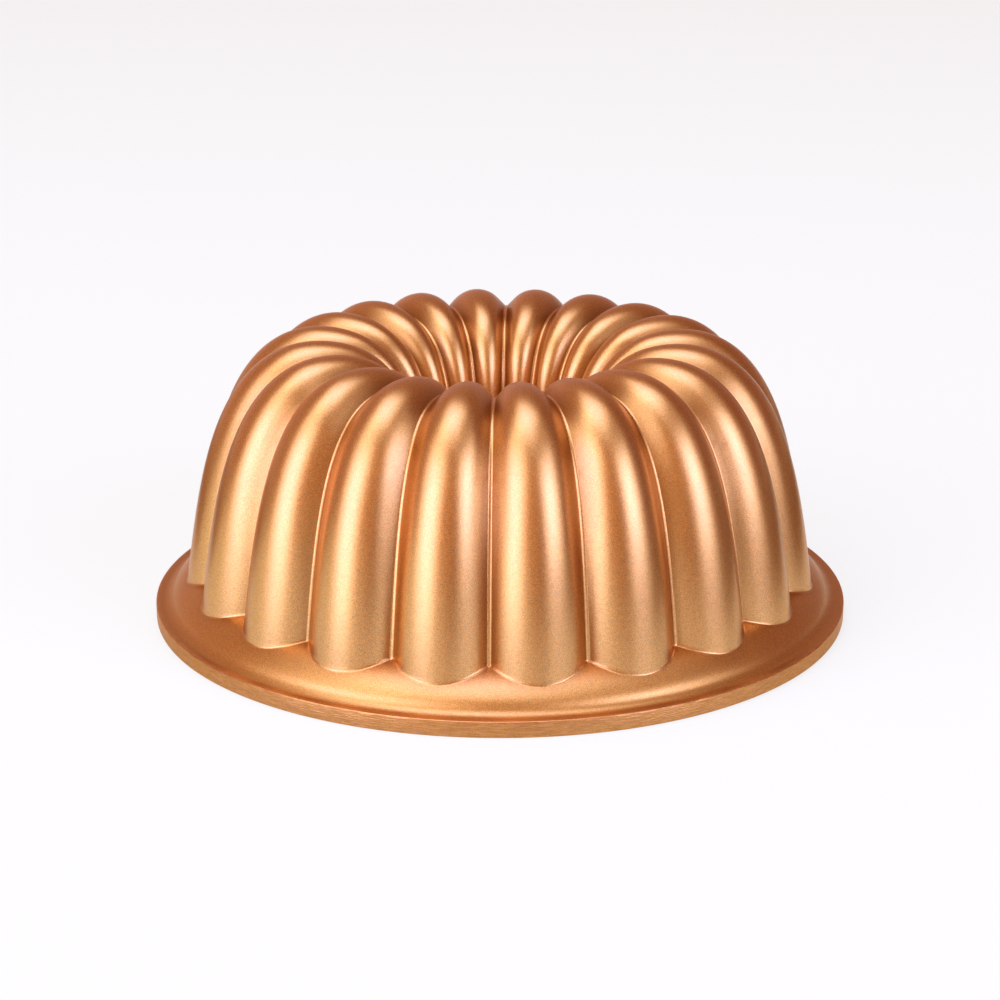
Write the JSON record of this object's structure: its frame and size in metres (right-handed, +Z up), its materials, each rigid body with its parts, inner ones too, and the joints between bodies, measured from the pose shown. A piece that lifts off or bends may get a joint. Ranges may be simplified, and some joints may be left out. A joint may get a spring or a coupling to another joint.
{
  "type": "cake mould",
  "caption": "Fluted ring cake mould standing on its wide rim: drafted lobed wall, rounded crown and open centre tube, cast metal with a satin gold coating.",
  "frame": {"origin": "on the mould's axis, in the plane of the rim that it stands on", "axes": "+Z up along the axis from the rim to the crown, -Y towards one groove between two flutes"},
  "size_m": [0.26, 0.26, 0.1041],
  "materials": {
    "coating": "satin gold coating with a fine metallic grain",
    "rim_coating": "satin gold coating over a turned edge"
  },
  "bodies": {
    "root": {"rim_flange": "rim_coating", "outer_wall": "coating", "crown": "coating", "centre_tube": "coating"}
  },
  "joints": []
}
